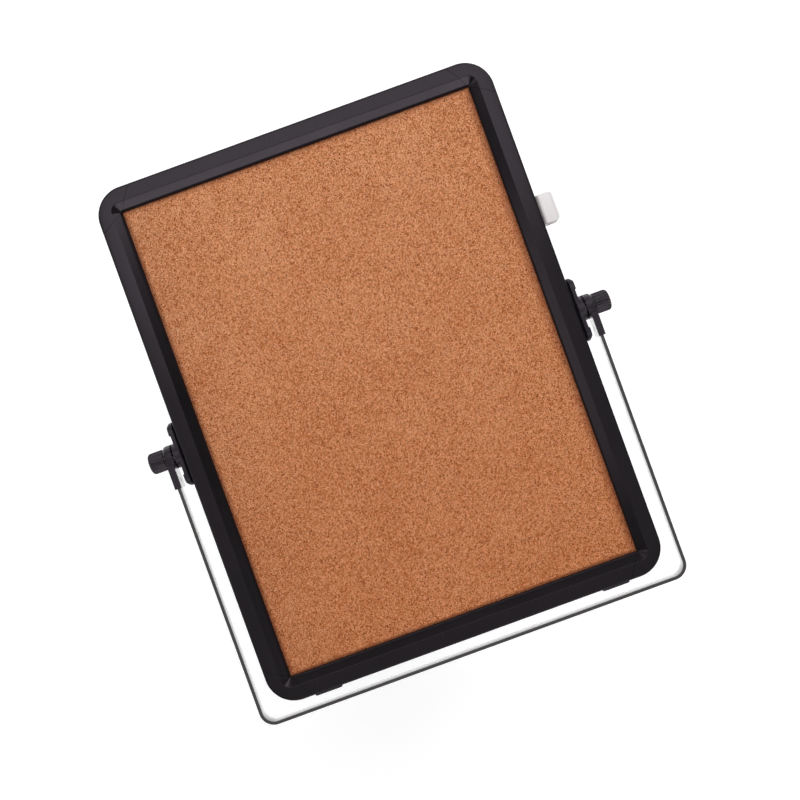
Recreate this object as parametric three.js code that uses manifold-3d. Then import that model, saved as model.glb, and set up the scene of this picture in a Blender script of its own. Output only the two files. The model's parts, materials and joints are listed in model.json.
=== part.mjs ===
// A two-sided desktop board: cork on one face, a white steel sheet on the other, in a black moulded
// frame. A steel strip bent into a U swings round the board on two toothed knuckles and is held by
// ribbed knobs. Millimetres. The board lies on its back with the cork up: X to the right, Y to the
// top of the board, Z out of the cork.

import * as THREE from 'three';
import { mergeVertices } from 'three/addons/utils/BufferGeometryUtils.js';
import Module from 'manifold-3d';

const wasm = await Module();
wasm.setup();

// Frame, as seen from the front
const frameWidth = 230;
const frameHeight = 299.3;
const railFace = 13.5;
const cornerRadius = 16.5;
const cornerLeg = 22.5;
const seamGap = 0.15;

// Frame moulding, through its thickness
const lipThickness = 4.5;
const edgeRun = 2.4;
const edgeDrop = 2.6;
const easeRun = 2.2;
const easeDrop = 0.6;
const bevelWidth = 3.8;
const bevelDrop = 1.9;
const lipRun = 1.4;
const cornerLipRadius = 0.3;

// Hollow web behind the slot, and the corner tongues that plug into it
const webOuterWall = 1.8;
const webInnerWall = 1.3;
const tongueThickness = 2;
const tongueHeight = 6.4;
const tongueLength = 10;
const tongueRoot = 6;

// Sheets held in the frame's slot
const corkThickness = 3;
const coreThickness = 3.3;
const steelThickness = 0.5;
const sheetPlay = 0.2;
const sheetCornerRadius = 8;

// Base plates on the sides of the frame
const plateLength = 36.7;
const plateDepth = 12;
const plateThickness = 3.5;
const plateEndThickness = 2.6;
const humpRise = 0.7;
const humpLength = 4.7;
const screwInset = 4.7;
const bossRadius = 4.3;
const boreSkin = 0.5;

// Toothed discs and arm sockets
const discRadius = 6.95;
const fixedDiscRise = 2.25;
const toothCount = 20;
const toothHeight = 0.7;
const toothRootRadius = 3.4;
const toothGap = 0.3;
const armDiscThickness = 5.15;
const domeRise = 1.7;
const domeFlatRadius = 4.2;
const socketThickness = 3.9;
const socketDepth = 11;
const socketReach = 17.75;
const socketSeat = 8;

// Steel strip
const stripThickness = 1.8;
const stripDepth = 8;
const stripBendRadius = 8.5;
const barClearance = 7.2;
const pinRadius = 1;
const pinDrop = 13;

// Studs, inserts, screws, washers and knobs
const studRadius = 2;
const studHeadRadius = 3.2;
const studHeadLength = 2;
const insertWall = 0.7;
const insertFlangeRise = 0.8;
const insertFlangeLength = 0.8;
const insertReach = 1.7;
const screwShankRadius = 1.1;
const screwHeadRadius = 2.3;
const screwHeadLength = 1.2;
const crossWidth = 0.5;
const crossLength = 2.6;
const crossDepth = 0.7;
const washerRadius = 4;
const washerThickness = 0.3;
const knobRadius = 5.95;
const knobLength = 8.8;
const knobRound = 2.3;
const ribCount = 24;
const ribDepth = 0.35;

// Foot pads and pen loop
const footLength = 15.6;
const footThickness = 1.4;
const footDepth = 10;
const footInset = 30.6;
const footRound = 1.5;
const loopHeight = 58.6;
const loopLength = 16.5;
const loopReach = 9.8;
const loopDepth = 13;
const loopWall = 0.9;
const loopRound = 2.5;
const loopPadThickness = 0.6;
const loopPadInset = 1.2;

// Gaps between neighbours: round fits and slots, and faces that only meet
const fit = 0.3;
const faceGap = 0.05;

// Places that follow from the sizes above
const slotHeight = corkThickness + coreThickness + steelThickness + sheetPlay;
const frameThickness = slotHeight + 2 * lipThickness;
const webDepth = webOuterWall + tongueThickness + 2 * fit + webInnerWall;
const sheetInset = webDepth + fit;
const boreDepth = webDepth - boreSkin;
const bevelStart = railFace - lipRun - bevelWidth;
const screwSpacing = plateLength - 2 * screwInset;
const fixedTip = plateThickness + fixedDiscRise;
const armTip = fixedTip + toothGap;
const armFace = armTip + armDiscThickness;
const socketBack = armFace - socketThickness;
const stripCentre = armFace - socketThickness / 2;
const washerStart = armFace + faceGap;
const knobStart = washerStart + washerThickness + faceGap;
const knobEnd = knobStart + knobLength;
const stripOuter = frameWidth / 2 + stripCentre + stripThickness / 2;
const standReach = frameHeight / 2 + barClearance + stripThickness;
const pivotHeight = (standReach - frameHeight / 2) / 2;
const insertRadius = studRadius + fit + insertWall;
const insertBack = fit - boreDepth;

function standard(color, roughness, metalness = 0) {
  return new THREE.MeshStandardMaterial({ color, roughness, metalness });
}

const framePlastic = standard(0x2d2b2e, 0.5);
const hingePlastic = standard(0x29272b, 0.55);
const knobPlastic = standard(0x232125, 0.6);
const cork = standard(0xb87650, 0.95);
const coreFibre = standard(0xa98a63, 0.95);
const whiteSteel = standard(0xf1f2f3, 0.25);
const darkSteel = standard(0x3d3c40, 0.4, 0.6);
const bareSteel = standard(0xb9bcc0, 0.35, 0.9);
const brass = standard(0xb8934a, 0.35, 0.9);
const nylon = standard(0xdcdad5, 0.6);
const rubber = standard(0x1c1b1d, 0.85);
const foam = standard(0xe4e4e2, 0.95);
const clearPlastic = standard(0xe7e3e6, 0.3);

// A closed geometry as a solid that can be cut and joined.
function solid(geometry) {
  const bare = geometry.clone();
  bare.deleteAttribute('normal');
  bare.deleteAttribute('uv');
  const merged = mergeVertices(bare, 1e-5);
  const mesh = new wasm.Mesh({
    numProp: 3,
    vertProperties: merged.attributes.position.array,
    triVerts: Uint32Array.from(merged.index.array),
  });
  return new wasm.Manifold(mesh);
}

function join(base, ...pieces) {
  return pieces.reduce((whole, piece) => whole.add(solid(piece)), base);
}

function cut(base, ...tools) {
  return tools.reduce((rest, tool) => rest.subtract(solid(tool)), base);
}

// The geometry of a solid, with one normal a facet.
function geometryOf(body) {
  const { vertProperties, triVerts } = body.getMesh();
  const geometry = new THREE.BufferGeometry();
  geometry.setAttribute('position', new THREE.BufferAttribute(vertProperties, 3));
  geometry.setIndex(new THREE.BufferAttribute(triVerts, 1));
  const faceted = geometry.toNonIndexed();
  faceted.computeVertexNormals();
  return faceted;
}

function named(name, geometry, material) {
  const mesh = new THREE.Mesh(geometry, material);
  mesh.name = name;
  return mesh;
}

// The mirror image across the board's middle, with its faces still pointing out.
function mirrored(geometry) {
  const image = geometry.index ? geometry.toNonIndexed() : geometry.clone();
  image.scale(-1, 1, 1);
  const { array, count } = image.attributes.position;
  for (let corner = 0; corner < count; corner += 3) {
    const first = array.slice(3 * corner, 3 * corner + 3);
    array.copyWithin(3 * corner, 3 * corner + 3, 3 * corner + 6);
    array.set(first, 3 * corner + 3);
  }
  image.computeVertexNormals();
  return image;
}

function box(x, y, z) {
  const size = [x, y, z].map(([low, high]) => high - low);
  const middle = [x, y, z].map(([low, high]) => (low + high) / 2);
  return new THREE.BoxGeometry(...size).translate(...middle);
}

// A plate of a flat outline, from one level of Z to another.
function plate(outline, low, high, curveSegments = 5) {
  const options = { depth: high - low, bevelEnabled: false, curveSegments };
  return new THREE.ExtrudeGeometry(outline, options).translate(0, 0, low);
}

// Turns a shape made in X and Y and extruded in Z so that it is drawn in Y and Z and runs along X.
function alongX(geometry) {
  const axes = new THREE.Matrix4().makeBasis(
    new THREE.Vector3(0, 1, 0),
    new THREE.Vector3(0, 0, 1),
    new THREE.Vector3(1, 0, 0),
  );
  return geometry.applyMatrix4(axes);
}

// Turns a shape made in X and Y and extruded in Z so that it is drawn in Z and X and runs along Y.
function alongY(geometry) {
  const axes = new THREE.Matrix4().makeBasis(
    new THREE.Vector3(0, 0, 1),
    new THREE.Vector3(1, 0, 0),
    new THREE.Vector3(0, 1, 0),
  );
  return geometry.applyMatrix4(axes);
}

function polygon(points) {
  return new THREE.Shape(points.map(([x, y]) => new THREE.Vector2(x, y)));
}

function roundedRectangle(width, height, radius) {
  const x = width / 2 - radius;
  const y = height / 2 - radius;
  const shape = new THREE.Shape();
  shape.absarc(x, y, radius, 0, Math.PI / 2);
  shape.absarc(-x, y, radius, Math.PI / 2, Math.PI);
  shape.absarc(-x, -y, radius, Math.PI, 1.5 * Math.PI);
  shape.absarc(x, -y, radius, 1.5 * Math.PI, 2 * Math.PI);
  return shape;
}

// A closed profile of [radius, place] points turned about X. Each step may move its points, which
// makes ribs and teeth. The profile runs anticlockwise with the radius to the right.
function turned(profile, steps, moved = (point) => point) {
  const position = [];
  const index = [];
  for (let step = 0; step < steps; step += 1) {
    const angle = (2 * Math.PI * step) / steps;
    for (const point of profile) {
      const [radius, place] = moved(point, step);
      position.push(place, radius * Math.cos(angle), radius * Math.sin(angle));
    }
  }
  const size = profile.length;
  for (let step = 0; step < steps; step += 1) {
    const here = step * size;
    const next = ((step + 1) % steps) * size;
    for (let first = 0; first < size; first += 1) {
      const second = (first + 1) % size;
      if (profile[first][0] > 0) index.push(here + first, next + first, next + second);
      if (profile[second][0] > 0) index.push(here + first, next + second, here + second);
    }
  }
  const geometry = new THREE.BufferGeometry();
  geometry.setAttribute('position', new THREE.Float32BufferAttribute(position, 3));
  geometry.setIndex(index);
  return mergeVertices(geometry, 1e-5);
}

function rod(radius, start, end, steps = 20) {
  return turned([[0, start], [radius, start], [radius, end], [0, end]], steps);
}

// Front half of the frame's moulding as [distance in from the outer side, height] points: a rounded
// outer edge, a flat land, an ease down to a flat bevel, and a lip that drops to the sheets.
function mouldingHalf() {
  const crown = frameThickness / 2;
  const lipStart = railFace - lipRun;
  const bevelFoot = easeDrop + bevelDrop;
  const points = [];
  for (let step = 0; step <= 4; step += 1) {
    const turn = (step * Math.PI) / 8;
    points.push([edgeRun * (1 - Math.cos(turn)), crown - edgeDrop * (1 - Math.sin(turn))]);
  }
  for (let step = 0; step <= 2; step += 1) {
    const part = step / 2;
    points.push([bevelStart - easeRun * (1 - part), crown - easeDrop * part * part]);
  }
  for (let step = 0; step <= 2; step += 1) {
    const turn = (step * Math.PI) / 4;
    const fall = (lipThickness - bevelFoot) * (1 - Math.cos(turn));
    points.push([lipStart + lipRun * Math.sin(turn), crown - bevelFoot - fall]);
  }
  return points;
}

// The whole section, front and back alike, anticlockwise with the inward distance to the right.
function mouldingSection() {
  const front = mouldingHalf();
  const back = front.map(([inward, height]) => [inward, -height]);
  return [...back, ...front.reverse()];
}

// One rail, drawn as the top one: X along it, Y out of the frame, the outer side at Y = 0.
function rail(length, pivotHoles) {
  const section = polygon(mouldingSection().map(([inward, height]) => [-inward, height]).reverse());
  const outerHalf = length / 2 - cornerLeg - seamGap;
  const innerHalf = length / 2 - railFace - seamGap;
  const blank = alongX(plate(section, -length / 2, length / 2));
  const plan = polygon([
    [-innerHalf, -railFace - 1],
    [innerHalf, -railFace - 1],
    [innerHalf, -railFace],
    [outerHalf, 0],
    [outerHalf, 1],
    [-outerHalf, 1],
    [-outerHalf, 0],
    [-innerHalf, -railFace],
  ]);
  const trimmed = solid(blank).intersect(solid(plate(plan, -frameThickness, frameThickness)));
  const slot = box([-length, length], [-2 * railFace, -webDepth], [-slotHeight / 2, slotHeight / 2]);
  const tunnelHalf = tongueHeight / 2 + fit;
  const tunnelEnd = webDepth - webInnerWall;
  const tunnel = box([-length, length], [-tunnelEnd, -webOuterWall], [-tunnelHalf, tunnelHalf]);
  const body = cut(trimmed, slot, tunnel);
  return geometryOf(pivotHoles ? cut(body, ...pivotBores()) : body);
}

// Blind holes in a side rail's outer side, for a base plate's boss and its two screws.
function pivotBores() {
  const down = (geometry) => geometry.rotateZ(Math.PI / 2);
  const boss = down(rod(bossRadius + fit, -boreDepth, 1));
  const pilots = [-1, 1].map((side) => {
    const pilot = down(rod(screwShankRadius + fit, -boreDepth, 1, 10));
    return pilot.translate((side * screwSpacing) / 2, 0, 0);
  });
  return [boss, ...pilots];
}

// How far the corner's outer outline lies from the cork's corner, looking out at an angle.
function cornerOutline(angle) {
  const ray = new THREE.Vector2(Math.cos(angle), Math.sin(angle));
  const centre = railFace - cornerRadius;
  const along = centre * (ray.x + ray.y);
  const arc = along + Math.sqrt(along * along - 2 * centre * centre + cornerRadius * cornerRadius);
  if (ray.y * arc < centre) return railFace / ray.x;
  if (ray.x * arc < centre) return railFace / ray.y;
  return arc;
}

// One ring of the corner piece: the rails' section, fanned round the cork's corner. Its bevel keeps
// its true distance from the cork, and its crown stretches out to the rounded outline.
function cornerRing(angle, section) {
  const ray = new THREE.Vector2(Math.cos(angle), Math.sin(angle));
  const slant = ray.x * ray.y < 0 ? Math.max(ray.x, ray.y) : 1;
  const outline = cornerOutline(angle);
  const crease = (railFace - bevelStart) / slant;
  return section.map(([inward, height]) => {
    const outside = outline - ((outline - crease) * inward) / bevelStart;
    const inside = Math.max(railFace - inward, cornerLipRadius) / slant;
    const reach = inward < bevelStart ? outside : inside;
    return new THREE.Vector3(reach * ray.x, reach * ray.y, height);
  });
}

// A closed body through rings of the same number of points, with flat ends.
function loft(rings, section) {
  const size = section.length;
  const position = rings.flat().flatMap((point) => point.toArray());
  const index = [];
  for (let ring = 0; ring + 1 < rings.length; ring += 1) {
    for (let first = 0; first < size; first += 1) {
      const second = (first + 1) % size;
      const here = ring * size;
      const next = here + size;
      index.push(here + first, here + second, next + second);
      index.push(here + first, next + second, next + first);
    }
  }
  const contour = section.map(([x, y]) => new THREE.Vector2(x, y));
  const last = (rings.length - 1) * size;
  for (const [a, b, c] of THREE.ShapeUtils.triangulateShape(contour, [])) {
    index.push(c, b, a);
    index.push(last + a, last + b, last + c);
  }
  const geometry = new THREE.BufferGeometry();
  geometry.setAttribute('position', new THREE.Float32BufferAttribute(position, 3));
  geometry.setIndex(index);
  return geometry;
}

// The top right corner piece, drawn about the cork's corner, with a tongue for each rail.
function cornerPiece() {
  const section = mouldingSection();
  const seam = Math.atan2(railFace - cornerLeg, railFace);
  const tangent = Math.atan2(railFace - cornerRadius, railFace);
  const arcSteps = 10;
  const angles = [seam];
  for (let step = 0; step <= arcSteps; step += 1) {
    angles.push(tangent + ((Math.PI / 2 - 2 * tangent) * step) / arcSteps);
  }
  angles.push(Math.PI / 2 - seam);
  const body = solid(loft(angles.map((angle) => cornerRing(angle, section)), section));
  const tongueFar = railFace - webOuterWall - fit;
  const tongueNear = tongueFar - tongueThickness;
  const across = [railFace - cornerLeg - tongueLength, railFace - cornerLeg + tongueRoot];
  const high = [-tongueHeight / 2, tongueHeight / 2];
  const sideTongue = box([tongueNear, tongueFar], across, high);
  const topTongue = box(across, [tongueNear, tongueFar], high);
  const slotEdge = railFace - webDepth;
  const slotSize = 4 * cornerLeg;
  const slotShape = roundedRectangle(slotSize, slotSize, sheetCornerRadius + fit);
  const slot = plate(slotShape, -slotHeight / 2, slotHeight / 2);
  slot.translate(slotEdge - slotSize / 2, slotEdge - slotSize / 2, 0);
  return geometryOf(cut(join(body, sideTongue, topTongue), slot));
}

// A sheet that fills the frame's slot, between two levels.
function sheet(low, high) {
  const width = frameWidth - 2 * sheetInset;
  const height = frameHeight - 2 * sheetInset;
  return plate(roundedRectangle(width, height, sheetCornerRadius), low, high);
}

// Profile of a disc about X, with a bore, whose face at the first place carries the teeth.
function toothedDisc(tip, back, rim) {
  const inward = Math.sign(back - tip);
  const root = tip + inward * toothHeight;
  const bore = studRadius + fit;
  const profile = [
    [bore, root],
    [toothRootRadius, root],
    [toothRootRadius + fit, tip],
    [discRadius, tip],
    ...rim,
    [bore, back],
  ];
  const ordered = inward > 0 ? profile : [...profile].reverse();
  const raise = ([radius, place], step) => {
    const onTooth = place === tip && step % 2 === 1;
    return [radius, onTooth ? root : place];
  };
  return turned(ordered, 2 * toothCount, raise);
}

// The right base plate about the pivot, X out of the frame's side: a long plate with a hump at each
// screw, the fixed toothed disc, and behind it a boss that seats the insert.
function basePlate() {
  const half = plateLength / 2;
  const humpMiddle = screwSpacing / 2;
  const humpEnd = humpMiddle + humpLength / 2;
  const humpFoot = humpMiddle - humpLength / 2;
  const humpTop = plateThickness + humpRise;
  const upper = [
    [plateThickness, humpFoot - humpRise / 2],
    [humpTop, humpFoot],
    [humpTop, humpEnd],
    [plateEndThickness, half],
  ];
  const lower = upper.map(([out, up]) => [out, -up]).reverse();
  const profile = polygon([[0, -half], ...lower, ...upper, [0, half]]);
  const outline = new THREE.Shape();
  const endCentre = half - plateDepth / 2;
  outline.absarc(endCentre, 0, plateDepth / 2, -Math.PI / 2, Math.PI / 2);
  outline.absarc(-endCentre, 0, plateDepth / 2, Math.PI / 2, 1.5 * Math.PI);
  const long = solid(alongX(plate(outline, 0, humpTop, 8)));
  const body = long.intersect(solid(plate(profile, -plateDepth, plateDepth)));
  const disc = toothedDisc(fixedTip, plateThickness / 2, [[discRadius, plateThickness / 2]]);
  const boss = rod(bossRadius, insertBack + insertFlangeLength + faceGap, plateThickness / 2);
  const seat = rod(insertRadius + fit, -boreDepth, insertReach + fit);
  const bore = rod(studRadius + fit, 0, fixedTip + 1);
  const sinks = [-1, 1].map((side) => screwSink().translate(0, side * humpMiddle, 0));
  const joined = join(body, disc, boss);
  return geometryOf(cut(joined, seat, bore, ...sinks));
}

// Clearance for a countersunk screw through the plate, its head just under the hump.
function screwSink() {
  const top = plateThickness + humpRise;
  const neck = top - faceGap - screwHeadLength;
  const shank = screwShankRadius + fit;
  const head = screwHeadRadius + fit;
  const profile = [[0, -1], [shank, -1], [shank, neck], [head, top - faceGap], [head, top + 1], [0, top + 1]];
  return turned(profile, 16);
}

// A countersunk screw along X with a cross in its head and a plain shank with a short point.
function baseScrew() {
  const top = plateThickness + humpRise - faceGap;
  const neck = top - screwHeadLength;
  const tip = fit - boreDepth;
  const body = turned([
    [0, tip],
    [screwShankRadius / 2, tip],
    [screwShankRadius, tip + screwShankRadius],
    [screwShankRadius, neck],
    [screwHeadRadius, top],
    [0, top],
  ], 16);
  const deep = [top - crossDepth, top + 1];
  const long = [-crossLength / 2, crossLength / 2];
  const thin = [-crossWidth / 2, crossWidth / 2];
  return geometryOf(cut(solid(body), box(deep, long, thin), box(deep, thin, long)));
}

// A flanged insert that the stud screws into. Its flange bears on the back of the boss.
function insert() {
  const bore = studRadius + fit;
  const flange = insertRadius + insertFlangeRise;
  const flangeEnd = insertBack + insertFlangeLength;
  return turned([
    [bore, insertBack],
    [flange, insertBack],
    [flange, flangeEnd],
    [insertRadius, flangeEnd],
    [insertRadius, insertReach],
    [bore, insertReach],
  ], 20);
}

// The right arm socket about the pivot: the moving toothed disc with a domed outer face, and a flat
// arm below it whose blind slot takes the end of the strip.
function armSocket() {
  const dome = [];
  for (let step = 0; step <= 4; step += 1) {
    const turn = (step * Math.PI) / 8;
    const radius = domeFlatRadius + (discRadius - domeFlatRadius) * Math.cos(turn);
    dome.push([radius, armFace - domeRise * (1 - Math.sin(turn))]);
  }
  const disc = toothedDisc(armTip, armFace, dome);
  const halfDepth = socketDepth / 2;
  const arm = box([socketBack, armFace], [-socketReach, 0], [-halfDepth, halfDepth]);
  const slotHalf = stripThickness / 2 + fit;
  const slotDeep = stripDepth / 2 + fit;
  const slot = box(
    [stripCentre - slotHalf, stripCentre + slotHalf],
    [-socketReach - 1, -socketSeat],
    [-slotDeep, slotDeep],
  );
  const bore = rod(studRadius + fit, armTip - 1, armFace + 1);
  const pinHole = rod(pinRadius + fit, armTip, armFace + 1, 16).translate(0, -pinDrop, 0);
  return geometryOf(cut(join(solid(disc), arm), bore, slot, pinHole));
}

// The strip: a U that opens upwards, drawn from the front about the pivots' line.
function standStrip() {
  const top = -socketSeat - fit;
  const side = (offset, radius, shape, reversed) => {
    const x = stripOuter - offset;
    const y = -standReach + offset;
    const corners = [
      [-x + radius, y + radius, Math.PI, 1.5 * Math.PI],
      [x - radius, y + radius, 1.5 * Math.PI, 2 * Math.PI],
    ];
    if (reversed) corners.reverse();
    shape.lineTo(reversed ? x : -x, top);
    for (const [cx, cy, start, end] of corners) {
      if (reversed) shape.absarc(cx, cy, radius, end, start, true);
      else shape.absarc(cx, cy, radius, start, end, false);
    }
    shape.lineTo(reversed ? -x : x, top);
  };
  const outline = new THREE.Shape();
  outline.moveTo(-stripOuter, top);
  side(0, stripBendRadius, outline, false);
  side(stripThickness, stripBendRadius - stripThickness, outline, true);
  const body = solid(plate(outline, -stripDepth / 2, stripDepth / 2, 8));
  const pinHole = rod(pinRadius + fit, -stripOuter - 1, stripOuter + 1, 16).translate(0, -pinDrop, 0);
  return geometryOf(cut(body, pinHole));
}

function socketPin() {
  return rod(pinRadius, socketBack + faceGap, armFace - faceGap, 16);
}

// The threaded stud, with the head that the knob is moulded round.
function stud() {
  const start = 2 * fit - boreDepth;
  const headStart = knobEnd - knobRound - fit - studHeadLength;
  return turned([
    [0, start],
    [studRadius - fit, start],
    [studRadius, start + fit],
    [studRadius, headStart],
    [studHeadRadius, headStart],
    [studHeadRadius, headStart + studHeadLength],
    [0, headStart + studHeadLength],
  ], 20);
}

// A ribbed knob with a rounded end and a stepped blind bore round the stud and its head.
function knob() {
  const seatEnd = knobEnd - knobRound;
  const seatStart = seatEnd - studHeadLength - 2 * fit;
  const bore = studRadius + fit;
  const seat = studHeadRadius + fit;
  const round = [];
  for (let step = 0; step <= 4; step += 1) {
    const turn = (step * Math.PI) / 8;
    const radius = knobRadius - knobRound * (1 - Math.cos(turn));
    round.push([radius, knobEnd - knobRound * (1 - Math.sin(turn))]);
  }
  const groove = ([radius, place], step) => {
    const onRib = radius > knobRadius - knobRound / 2;
    return [onRib && step % 3 === 0 ? radius - ribDepth : radius, place];
  };
  const profile = [[0, knobStart], [knobRadius, knobStart], ...round, [0, knobEnd]];
  const body = turned(profile, 3 * ribCount, groove);
  const neck = rod(bore, knobStart - 1, seatEnd);
  return geometryOf(cut(solid(body), neck, rod(seat, seatStart, seatEnd)));
}

function washer() {
  const bore = studRadius + fit;
  const end = washerStart + washerThickness;
  const profile = [[bore, washerStart], [washerRadius, washerStart], [washerRadius, end], [bore, end]];
  return turned(profile, 20);
}

// A foot pad, drawn with its upper face at Y = 0.
function footPad() {
  return alongY(plate(roundedRectangle(footDepth, footLength, footRound), -footThickness, 0));
}

// The pen loop: a flat-sided ring that runs along Y, with its two outer corners rounded off.
function penLoop() {
  const start = loopPadThickness;
  const width = loopReach - start;
  const middle = start + width / 2;
  const ring = roundedRectangle(loopDepth, width, loopRound);
  ring.holes.push(roundedRectangle(loopDepth - 2 * loopWall, width - 2 * loopWall, loopRound - loopWall));
  const band = alongY(plate(ring, -loopLength / 2, loopLength / 2)).translate(middle, 0, 0);
  const face = roundedRectangle(2 * loopReach, loopLength, loopRound);
  return geometryOf(solid(band).intersect(solid(plate(face, -loopDepth, loopDepth))));
}

function loopPad() {
  const depth = loopDepth - 2 * loopPadInset - loopRound;
  const length = loopLength - 2 * loopPadInset;
  return box([0, loopPadThickness], [-length / 2, length / 2], [-depth / 2, depth / 2]);
}

function frame() {
  const group = new THREE.Group();
  const wide = rail(frameWidth, false);
  const tall = rail(frameHeight, true);
  const corner = cornerPiece();
  const rails = [
    ['rail_top', wide, 0, [0, frameHeight / 2]],
    ['rail_left', tall, 1, [-frameWidth / 2, 0]],
    ['rail_bottom', wide, 2, [0, -frameHeight / 2]],
    ['rail_right', tall, 3, [frameWidth / 2, 0]],
  ];
  const corkX = frameWidth / 2 - railFace;
  const corkY = frameHeight / 2 - railFace;
  const corners = [
    ['corner_top_right', corner, 0, [corkX, corkY]],
    ['corner_top_left', corner, 1, [-corkX, corkY]],
    ['corner_bottom_left', corner, 2, [-corkX, -corkY]],
    ['corner_bottom_right', corner, 3, [corkX, -corkY]],
  ];
  for (const [name, geometry, quarters, [x, y]] of [...rails, ...corners]) {
    const mesh = named(name, geometry, framePlastic);
    mesh.position.set(x, y, 0);
    mesh.rotation.z = (quarters * Math.PI) / 2;
    group.add(mesh);
  }
  return group;
}

function sheets() {
  const group = new THREE.Group();
  const steelTop = steelThickness - slotHeight / 2;
  const coreTop = steelTop + coreThickness;
  group.add(named('dry_erase_sheet', sheet(-slotHeight / 2, steelTop), whiteSteel));
  group.add(named('core_board', sheet(steelTop, coreTop), coreFibre));
  group.add(named('cork_sheet', sheet(coreTop, coreTop + corkThickness), cork));
  return group;
}

// What sits at one pivot. The left side is the mirror image of the right one.
function pivotSet(side) {
  const group = new THREE.Group();
  const handed = (geometry) => (side === 'left' ? mirrored(geometry) : geometry);
  const add = (name, geometry, material, up = 0) => {
    const mesh = named(`${name}_${side}`, handed(geometry), material);
    mesh.position.y = up;
    group.add(mesh);
  };
  add('base_plate', basePlate(), hingePlastic);
  add('base_screw_upper', baseScrew(), bareSteel, screwSpacing / 2);
  add('base_screw_lower', baseScrew(), bareSteel, -screwSpacing / 2);
  add('nut_insert', insert(), brass);
  add('arm_socket', armSocket(), hingePlastic);
  add('socket_pin', socketPin(), bareSteel, -pinDrop);
  add('washer', washer(), nylon);
  add('knob', knob(), knobPlastic);
  add('stud', stud(), bareSteel);
  group.position.x = side === 'left' ? -frameWidth / 2 : frameWidth / 2;
  return group;
}

function feet() {
  const group = new THREE.Group();
  for (const [side, sign] of [['left', -1], ['right', 1]]) {
    const pad = named(`foot_pad_${side}`, footPad(), rubber);
    pad.position.set(sign * (frameWidth / 2 - footInset), -frameHeight / 2, 0);
    group.add(pad);
  }
  return group;
}

function penHolder() {
  const group = new THREE.Group();
  group.add(named('pen_loop', penLoop(), clearPlastic));
  group.add(named('pen_loop_pad', loopPad(), foam));
  group.position.set(frameWidth / 2, loopHeight, 0);
  return group;
}

const board = new THREE.Group();
board.add(frame());
board.add(sheets());
board.add(pivotSet('left'));
board.add(pivotSet('right'));
board.add(named('stand_strip', standStrip(), darkSteel));
board.add(feet());
board.add(penHolder());
board.position.set(0, pivotHeight, frameThickness / 2);

export default board;
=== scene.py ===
# %% [markdown]
# # Dressing a two-sided desk board
#
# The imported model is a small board: cork on the front, white steel on the back, a black moulded
# frame round both, and a steel strip bent into a U that swings round the board on two toothed
# pivots. Its solids are exact but faceted. This notebook gives each visible piece a finer surface
# and a finish of its own, sets up a camera straight above the board and lights it softly.

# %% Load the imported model
import json

import bmesh
import bpy
import numpy as np
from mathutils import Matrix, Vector


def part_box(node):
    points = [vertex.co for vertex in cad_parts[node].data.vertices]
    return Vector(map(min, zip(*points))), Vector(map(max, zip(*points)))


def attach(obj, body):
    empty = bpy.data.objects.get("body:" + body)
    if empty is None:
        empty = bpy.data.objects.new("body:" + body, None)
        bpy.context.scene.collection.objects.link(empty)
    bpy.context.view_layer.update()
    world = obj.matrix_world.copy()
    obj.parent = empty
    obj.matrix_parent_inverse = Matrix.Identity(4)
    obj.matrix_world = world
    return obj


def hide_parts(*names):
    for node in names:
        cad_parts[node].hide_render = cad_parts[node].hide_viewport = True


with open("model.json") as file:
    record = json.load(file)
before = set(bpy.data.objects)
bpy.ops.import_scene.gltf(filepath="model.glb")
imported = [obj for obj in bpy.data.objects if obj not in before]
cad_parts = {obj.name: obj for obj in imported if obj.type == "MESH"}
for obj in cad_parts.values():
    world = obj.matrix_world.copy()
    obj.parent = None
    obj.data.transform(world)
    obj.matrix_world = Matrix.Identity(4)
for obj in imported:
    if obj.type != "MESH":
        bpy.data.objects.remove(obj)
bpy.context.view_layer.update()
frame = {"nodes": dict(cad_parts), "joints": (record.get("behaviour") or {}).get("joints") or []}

# %% [markdown]
# ## Sizes
#
# Lengths are in millimetres, as a maker gives them, from the point where the line between the two
# pivots crosses the middle of the board: x to the right, y to the board's top, z out of the cork.
# The frame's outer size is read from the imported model, and the sizes of its moulding are close to
# those that the solids were drawn with.

# %% The board's main sizes
MM = 0.001
SWING = next(joint for joint in frame["joints"] if joint["name"] == "stand_swing")
PIVOT = np.array(SWING["pos_m"])
SIGN = {"left": -1, "right": 1}


def extent(node):
    """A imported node's low and high corner in mm, as two rows."""
    return (np.array(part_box(node)) - PIVOT) / MM


HALF_WIDTH = -extent("rail_left")[0, 0]
HALF_HEIGHT, CROWN = extent("rail_top")[1, 1:]
FACE, CORNER_RADIUS, CORNER_LEG, SEAM = 13.5, 16.5, 22.5, 0.06
CORK_X, CORK_Y = HALF_WIDTH - FACE, HALF_HEIGHT - FACE
print(f"frame {2 * HALF_WIDTH:.1f} x {2 * HALF_HEIGHT:.1f} mm,", end=" ")
print(f"cork {extent('cork_sheet')[1, 2]:.2f} mm up")

# %% [markdown]
# ## The camera
#
# The board is seen square on from about 60 cm, turned a little anticlockwise in the picture. It
# could be turned under an upright camera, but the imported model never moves, so the camera is
# turned the other way about its line of sight. It looks down at a point just right of and below
# the board's middle.


# %% Camera above the board
def new_object(name, data):
    """An object with some data, linked into the scene."""
    item = bpy.data.objects.new(name, data)
    bpy.context.scene.collection.objects.link(item)
    return item


CAMERA_PLACE, CAMERA_TURN, LENS = (0.00715, -0.00881, 0.616), -19.97, 49.22
camera_data = bpy.data.cameras.new("camera")
camera_data.lens = LENS
camera = new_object("camera", camera_data)
camera.location = CAMERA_PLACE
camera.rotation_euler = (0.0, 0.0, np.radians(CAMERA_TURN))
bpy.context.scene.camera = camera
print(f"camera {camera.location.z * 1000:.0f} mm up, turned {CAMERA_TURN} degrees")

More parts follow.
